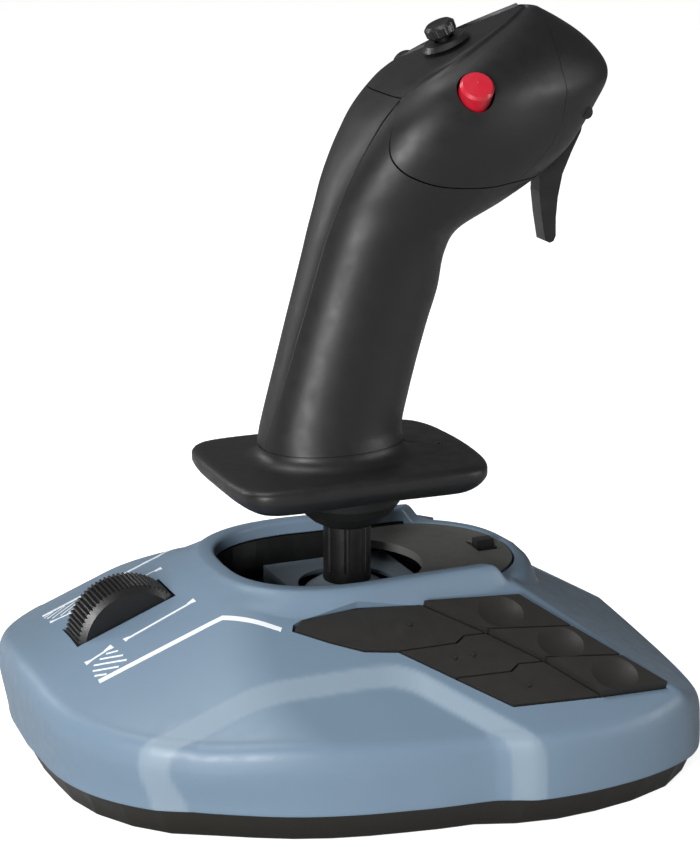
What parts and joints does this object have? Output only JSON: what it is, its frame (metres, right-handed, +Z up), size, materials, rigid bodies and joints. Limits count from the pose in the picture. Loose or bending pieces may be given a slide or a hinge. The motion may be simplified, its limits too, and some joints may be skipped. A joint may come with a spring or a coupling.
{
  "type": "flight joystick",
  "caption": "Desk flight joystick: a sprung two-axis stick with a twisting grip, head switches, a trigger, a lever wheel and base buttons.",
  "frame": {"origin": "on the table under the stick pivot axis", "axes": "+Z up, +Y away from the user, +X to the user's right"},
  "size_m": [0.1866, 0.1983, 0.2188],
  "materials": {
    "shell": "fine matte grain, blue-grey",
    "pale": "matte pale blue-grey",
    "grip": "soft-touch matte charcoal",
    "black": "satin black",
    "panel": "matte dark grey",
    "rubber": "matte rubber",
    "steel": "plain steel",
    "board": "circuit board",
    "red": "satin red"
  },
  "bodies": {
    "base": {"base_cover": "shell", "base_tray": "black", "rubber_feet": "rubber", "tray_screws": "steel", "ballast_plate": "steel", "well_liner": "black", "gimbal_cover": "pale", "front_deck": "panel", "gimbal_frame": "black", "gimbal_screws": "steel", "lever_bracket": "panel", "lever_axle": "steel", "lever_sensor": "board", "button_frame_right": "panel", "button_frame_left": "panel", "button_board_right": "board", "button_board_left": "board", "main_board": "board", "board_screws": "steel", "cord_gland": "black"},
    "pitch_gimbal": {"pitch_cradle": "panel"},
    "stick": {"roll_block": "steel", "stick_shaft": "black", "dust_dome": "pale", "bearing_cup": "grip"},
    "grip": {"hand_rest": "grip", "twist_bushing": "steel", "twist_clip": "steel", "grip_spine": "grip", "grip_shell_right": "grip", "grip_shell_left": "grip", "module_right": "grip", "module_left": "grip", "head_plate": "grip", "head_nose": "grip", "trigger_pin": "steel", "head_board": "board"},
    "hat_ring": {"hat_collar": "black"},
    "hat": {"hat_cap": "black"},
    "red_button": {"red_button": "red"},
    "black_button": {"black_button": "black"},
    "trigger": {"trigger": "black"},
    "lever": {"lever_wheel": "black"},
    "lock_slide": {"lock_slide": "black"},
    "cap_right_1": {"cap_right_1": "panel"},
    "cap_right_2": {"cap_right_2": "panel"},
    "cap_right_3": {"cap_right_3": "panel"},
    "cap_right_4": {"cap_right_4": "panel"},
    "cap_right_5": {"cap_right_5": "panel"},
    "cap_right_6": {"cap_right_6": "panel"},
    "cap_left_1": {"cap_left_1": "panel"},
    "cap_left_2": {"cap_left_2": "panel"},
    "cap_left_3": {"cap_left_3": "panel"},
    "cap_left_4": {"cap_left_4": "panel"},
    "cap_left_5": {"cap_left_5": "panel"},
    "cap_left_6": {"cap_left_6": "panel"}
  },
  "joints": [
    {"name": "stick_pitch", "type": "hinge", "parent": "base", "child": "pitch_gimbal", "pos_m": [0, 0, 0.03], "axis": [1, 0, 0], "range_deg": [-15, 15], "stiffness_Nm_per_rad": 0.9},
    {"name": "stick_roll", "type": "hinge", "parent": "pitch_gimbal", "child": "stick", "pos_m": [0, 0, 0.03], "axis": [0, 1, 0], "range_deg": [-15, 15], "stiffness_Nm_per_rad": 0.9},
    {"name": "stick_twist", "type": "hinge", "parent": "stick", "child": "grip", "pos_m": [0, 0, 0.08], "axis": [0, 0, 1], "range_deg": [-18, 18], "stiffness_Nm_per_rad": 0.25},
    {"name": "hat_pitch", "type": "hinge", "parent": "grip", "child": "hat_ring", "pos_m": [0, 0.03316, 0.20496], "axis": [1, 0, 0], "range_deg": [-6, 6], "stiffness_Nm_per_rad": 0.02},
    {"name": "hat_roll", "type": "hinge", "parent": "hat_ring", "child": "hat", "pos_m": [0, 0.03316, 0.20496], "axis": [0, 0.91, 0.4147], "range_deg": [-6, 6], "stiffness_Nm_per_rad": 0.02},
    {"name": "red_press", "type": "slide", "parent": "grip", "child": "red_button", "axis": [-0.7002, 0.1392, -0.7002], "range_m": [0, 0.0015], "stiffness_N_per_m": 600},
    {"name": "black_press", "type": "slide", "parent": "grip", "child": "black_button", "axis": [0.7002, 0.1392, -0.7002], "range_m": [0, 0.0015], "stiffness_N_per_m": 600},
    {"name": "trigger_pull", "type": "hinge", "parent": "grip", "child": "trigger", "pos_m": [0, 0.072, 0.188], "axis": [-1, 0, 0], "range_deg": [0, 8], "stiffness_Nm_per_rad": 0.3},
    {"name": "lever_turn", "type": "hinge", "parent": "base", "child": "lever", "pos_m": [0, -0.0698, 0.0401], "axis": [1, 0, 0], "range_deg": [-28, 28]},
    {"name": "lock_move", "type": "slide", "parent": "base", "child": "lock_slide", "axis": [1, 0, 0], "range_m": [-0.002, 0.002]},
    {"name": "press_right_1", "type": "slide", "parent": "base", "child": "cap_right_1", "axis": [-0.3951, 0, -0.9187], "range_m": [0, 0.001], "stiffness_N_per_m": 500},
    {"name": "press_right_2", "type": "slide", "parent": "base", "child": "cap_right_2", "axis": [-0.3951, 0, -0.9187], "range_m": [0, 0.001], "stiffness_N_per_m": 500},
    {"name": "press_right_3", "type": "slide", "parent": "base", "child": "cap_right_3", "axis": [-0.3951, 0, -0.9187], "range_m": [0, 0.001], "stiffness_N_per_m": 500},
    {"name": "press_right_4", "type": "slide", "parent": "base", "child": "cap_right_4", "axis": [-0.3951, 0, -0.9187], "range_m": [0, 0.001], "stiffness_N_per_m": 500},
    {"name": "press_right_5", "type": "slide", "parent": "base", "child": "cap_right_5", "axis": [-0.3951, 0, -0.9187], "range_m": [0, 0.001], "stiffness_N_per_m": 500},
    {"name": "press_right_6", "type": "slide", "parent": "base", "child": "cap_right_6", "axis": [-0.3951, 0, -0.9187], "range_m": [0, 0.001], "stiffness_N_per_m": 500},
    {"name": "press_left_1", "type": "slide", "parent": "base", "child": "cap_left_1", "axis": [0.3951, 0, -0.9187], "range_m": [0, 0.001], "stiffness_N_per_m": 500},
    {"name": "press_left_2", "type": "slide", "parent": "base", "child": "cap_left_2", "axis": [0.3951, 0, -0.9187], "range_m": [0, 0.001], "stiffness_N_per_m": 500},
    {"name": "press_left_3", "type": "slide", "parent": "base", "child": "cap_left_3", "axis": [0.3951, 0, -0.9187], "range_m": [0, 0.001], "stiffness_N_per_m": 500},
    {"name": "press_left_4", "type": "slide", "parent": "base", "child": "cap_left_4", "axis": [0.3951, 0, -0.9187], "range_m": [0, 0.001], "stiffness_N_per_m": 500},
    {"name": "press_left_5", "type": "slide", "parent": "base", "child": "cap_left_5", "axis": [0.3951, 0, -0.9187], "range_m": [0, 0.001], "stiffness_N_per_m": 500},
    {"name": "press_left_6", "type": "slide", "parent": "base", "child": "cap_left_6", "axis": [0.3951, 0, -0.9187], "range_m": [0, 0.001], "stiffness_N_per_m": 500}
  ]
}
